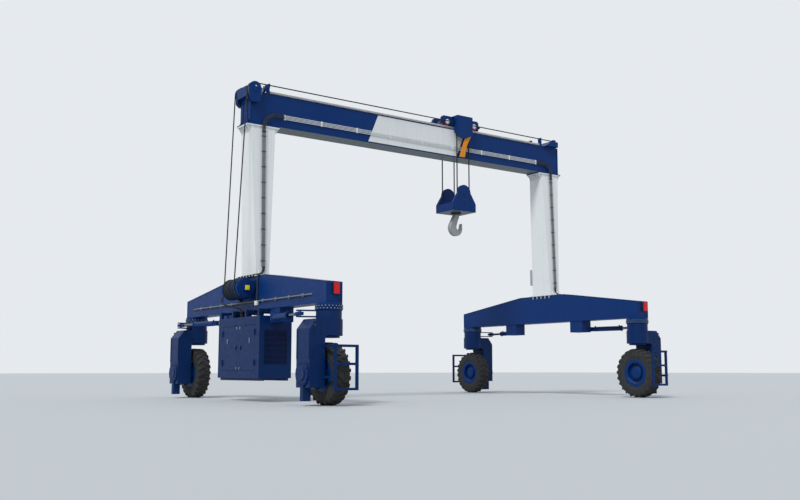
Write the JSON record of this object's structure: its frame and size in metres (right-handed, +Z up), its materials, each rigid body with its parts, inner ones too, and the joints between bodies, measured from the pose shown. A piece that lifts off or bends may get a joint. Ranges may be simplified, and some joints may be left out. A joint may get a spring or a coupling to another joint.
{
  "type": "rubber tyred gantry crane",
  "caption": "Wheeled portal crane: box girder on two tapered legs, two carriage beams with steered tyred wheels, trolley, rope winch and hook block.",
  "frame": {"origin": "on the ground, midway between the wheel planes and midway between the axles", "axes": "+X along the main girder towards the leg without the winch, -Y towards the face with the sign, Y is the travel direction, +Z up"},
  "size_m": [15.84, 12.005, 11.2749],
  "materials": {
    "navy_paint": "satin",
    "white_paint": "satin",
    "rail_steel": "satin",
    "sheave_steel": "satin",
    "rope_steel": "matt",
    "sign_white": "satin",
    "tray_grey": "satin",
    "cable_rubber": "matt",
    "lamp_red": "gloss",
    "engine_grey": "matt",
    "cabinet_grey": "satin",
    "wheel_steel": "satin",
    "arm_orange": "satin",
    "hook_grey": "satin",
    "tyre_rubber": "matt",
    "rod_chrome": "polished",
    "stop_red": "satin"
  },
  "bodies": {
    "gantry": {"main_girder": "navy_paint", "trolley_rails": "rail_steel", "rail_stops": "navy_paint", "sheave_bracket": "navy_paint", "rope_anchor": "navy_paint", "hoist_ropes": "rope_steel", "sign_panel": "sign_white", "cable_tray": "tray_grey", "cable_bundle_left": "cable_rubber", "cable_bundle_right": "cable_rubber", "leg_left": "white_paint", "leg_right": "white_paint", "carriage_beam_left": "navy_paint", "carriage_beam_right": "navy_paint", "travel_lamps": "lamp_red", "power_pack_casing": "navy_paint", "power_pack_engine": "engine_grey", "winch_frame": "navy_paint", "leg_cabinet": "cabinet_grey"},
    "steering_left_front": {"steering_unit_left_front": "navy_paint"},
    "wheel_left_front": {"tyre_left_front": "tyre_rubber", "rim_left_front": "navy_paint"},
    "cylinder_left_front": {"cylinder_barrel_left_front": "navy_paint"},
    "piston_left_front": {"cylinder_rod_left_front": "rod_chrome"},
    "steering_left_rear": {"steering_unit_left_rear": "navy_paint"},
    "wheel_left_rear": {"tyre_left_rear": "tyre_rubber", "rim_left_rear": "navy_paint"},
    "cylinder_left_rear": {"cylinder_barrel_left_rear": "navy_paint"},
    "piston_left_rear": {"cylinder_rod_left_rear": "rod_chrome"},
    "steering_right_front": {"steering_unit_right_front": "navy_paint"},
    "wheel_right_front": {"tyre_right_front": "tyre_rubber", "rim_right_front": "navy_paint"},
    "cylinder_right_front": {"cylinder_barrel_right_front": "navy_paint"},
    "piston_right_front": {"cylinder_rod_right_front": "rod_chrome"},
    "steering_right_rear": {"steering_unit_right_rear": "navy_paint"},
    "wheel_right_rear": {"tyre_right_rear": "tyre_rubber", "rim_right_rear": "navy_paint"},
    "cylinder_right_rear": {"cylinder_barrel_right_rear": "navy_paint"},
    "piston_right_rear": {"cylinder_rod_right_rear": "rod_chrome"},
    "trolley": {"trolley_frame": "navy_paint", "trolley_housing": "navy_paint", "trolley_arm": "arm_orange", "hoist_falls": "rope_steel"},
    "trolley_wheels_left": {"trolley_wheels_left": "wheel_steel"},
    "trolley_wheels_right": {"trolley_wheels_right": "wheel_steel"},
    "hook_block": {"hook_block": "navy_paint"},
    "hook": {"hook": "hook_grey"},
    "drum": {"winch_drum": "navy_paint"},
    "end_sheaves": {"end_sheaves": "sheave_steel"},
    "door_front": {"power_pack_door_front": "navy_paint"},
    "door_rear": {"power_pack_door_rear": "navy_paint"}
  },
  "joints": [
    {"name": "steer_left_front", "type": "hinge", "parent": "gantry", "child": "steering_left_front", "pos_m": [-6.95, -4.965, 2.985], "axis": [0, 0, 1], "range_deg": [-25, 25]},
    {"name": "roll_left_front", "type": "hinge", "parent": "steering_left_front", "child": "wheel_left_front", "pos_m": [-6.95, -4.965, 0.93393], "axis": [1, 0, 0], "continuous": true},
    {"name": "cylinder_swing_left_front", "type": "hinge", "parent": "gantry", "child": "cylinder_left_front", "pos_m": [-7.37, -2.2, 2.72], "axis": [0, 0, 1], "range_deg": [-2.9, 2.9]},
    {"name": "cylinder_stroke_left_front", "type": "slide", "parent": "cylinder_left_front", "child": "piston_left_front", "axis": [-0.1554, -0.9878, 0], "range_m": [-0.3642, 0.3642]},
    {"name": "steer_left_rear", "type": "hinge", "parent": "gantry", "child": "steering_left_rear", "pos_m": [-6.95, 4.965, 2.985], "axis": [0, 0, 1], "range_deg": [-25, 25]},
    {"name": "roll_left_rear", "type": "hinge", "parent": "steering_left_rear", "child": "wheel_left_rear", "pos_m": [-6.95, 4.965, 0.93393], "axis": [1, 0, 0], "continuous": true},
    {"name": "cylinder_swing_left_rear", "type": "hinge", "parent": "gantry", "child": "cylinder_left_rear", "pos_m": [-7.37, 2.2, 2.72], "axis": [0, 0, 1], "range_deg": [-2.9, 2.9]},
    {"name": "cylinder_stroke_left_rear", "type": "slide", "parent": "cylinder_left_rear", "child": "piston_left_rear", "axis": [-0.1554, 0.9878, 0], "range_m": [-0.3642, 0.3642]},
    {"name": "steer_right_front", "type": "hinge", "parent": "gantry", "child": "steering_right_front", "pos_m": [6.95, -4.965, 2.985], "axis": [0, 0, 1], "range_deg": [-25, 25]},
    {"name": "roll_right_front", "type": "hinge", "parent": "steering_right_front", "child": "wheel_right_front", "pos_m": [6.95, -4.965, 0.93393], "axis": [1, 0, 0], "continuous": true},
    {"name": "cylinder_swing_right_front", "type": "hinge", "parent": "gantry", "child": "cylinder_right_front", "pos_m": [7.37, -2.2, 2.72], "axis": [0, 0, 1], "range_deg": [-2.9, 2.9]},
    {"name": "cylinder_stroke_right_front", "type": "slide", "parent": "cylinder_right_front", "child": "piston_right_front", "axis": [0.1554, -0.9878, 0], "range_m": [-0.3642, 0.3642]},
    {"name": "steer_right_rear", "type": "hinge", "parent": "gantry", "child": "steering_right_rear", "pos_m": [6.95, 4.965, 2.985], "axis": [0, 0, 1], "range_deg": [-25, 25]},
    {"name": "roll_right_rear", "type": "hinge", "parent": "steering_right_rear", "child": "wheel_right_rear", "pos_m": [6.95, 4.965, 0.93393], "axis": [1, 0, 0], "continuous": true},
    {"name": "cylinder_swing_right_rear", "type": "hinge", "parent": "gantry", "child": "cylinder_right_rear", "pos_m": [7.37, 2.2, 2.72], "axis": [0, 0, 1], "range_deg": [-2.9, 2.9]},
    {"name": "cylinder_stroke_right_rear", "type": "slide", "parent": "cylinder_right_rear", "child": "piston_right_rear", "axis": [0.1554, 0.9878, 0], "range_m": [-0.3642, 0.3642]},
    {"name": "trolley_travel", "type": "slide", "parent": "gantry", "child": "trolley", "axis": [1, 0, 0], "range_m": [-7.637, 3.407]},
    {"name": "trolley_roll_left", "type": "hinge", "parent": "trolley", "child": "trolley_wheels_left", "pos_m": [1.285, 0, 11.0103], "axis": [0, 1, 0], "continuous": true},
    {"name": "trolley_roll_right", "type": "hinge", "parent": "trolley", "child": "trolley_wheels_right", "pos_m": [2.685, 0, 11.0103], "axis": [0, 1, 0], "continuous": true},
    {"name": "hook_hoist", "type": "slide", "parent": "trolley", "child": "hook_block", "axis": [0, 0, 1], "range_m": [-6.2, 0.8], "deforming": ["hoist_falls"]},
    {"name": "hook_swivel", "type": "hinge", "parent": "hook_block", "child": "hook", "pos_m": [1.985, 0, 7.375], "axis": [0, 0, 1], "continuous": true},
    {"name": "drum_spin", "type": "hinge", "parent": "gantry", "child": "drum", "pos_m": [-7.605, 0, 3.785], "axis": [0, 1, 0], "continuous": true},
    {"name": "sheave_spin", "type": "hinge", "parent": "gantry", "child": "end_sheaves", "pos_m": [-7.36, 0, 10.72], "axis": [0, 1, 0], "continuous": true},
    {"name": "door_hinge_front", "type": "hinge", "parent": "gantry", "child": "door_front", "pos_m": [-7.562, -1.236, 1.775], "axis": [0, 0, 1], "range_deg": [0, 105]},
    {"name": "door_hinge_rear", "type": "hinge", "parent": "gantry", "child": "door_rear", "pos_m": [-7.562, 1.236, 1.775], "axis": [0, 0, 1], "range_deg": [-105, 0]}
  ],
  "couplings": [
    {"joint": "cylinder_swing_left_front", "follows": "steer_left_front", "ratio": -0.0962},
    {"joint": "cylinder_stroke_left_front", "follows": "steer_left_front", "m_per_rad": 0.8232},
    {"joint": "cylinder_swing_left_rear", "follows": "steer_left_rear", "ratio": -0.0962},
    {"joint": "cylinder_stroke_left_rear", "follows": "steer_left_rear", "m_per_rad": -0.8232},
    {"joint": "cylinder_swing_right_front", "follows": "steer_right_front", "ratio": -0.0962},
    {"joint": "cylinder_stroke_right_front", "follows": "steer_right_front", "m_per_rad": -0.8232},
    {"joint": "cylinder_swing_right_rear", "follows": "steer_right_rear", "ratio": -0.0962},
    {"joint": "cylinder_stroke_right_rear", "follows": "steer_right_rear", "m_per_rad": 0.8232},
    {"joint": "trolley_roll_left", "follows": "trolley_travel", "rad_per_m": 6.0606},
    {"joint": "trolley_roll_right", "follows": "trolley_travel", "rad_per_m": 6.0606},
    {"joint": "drum_spin", "follows": "hook_hoist", "rad_per_m": -6.2305},
    {"joint": "sheave_spin", "follows": "hook_hoist", "rad_per_m": -7.1174}
  ]
}
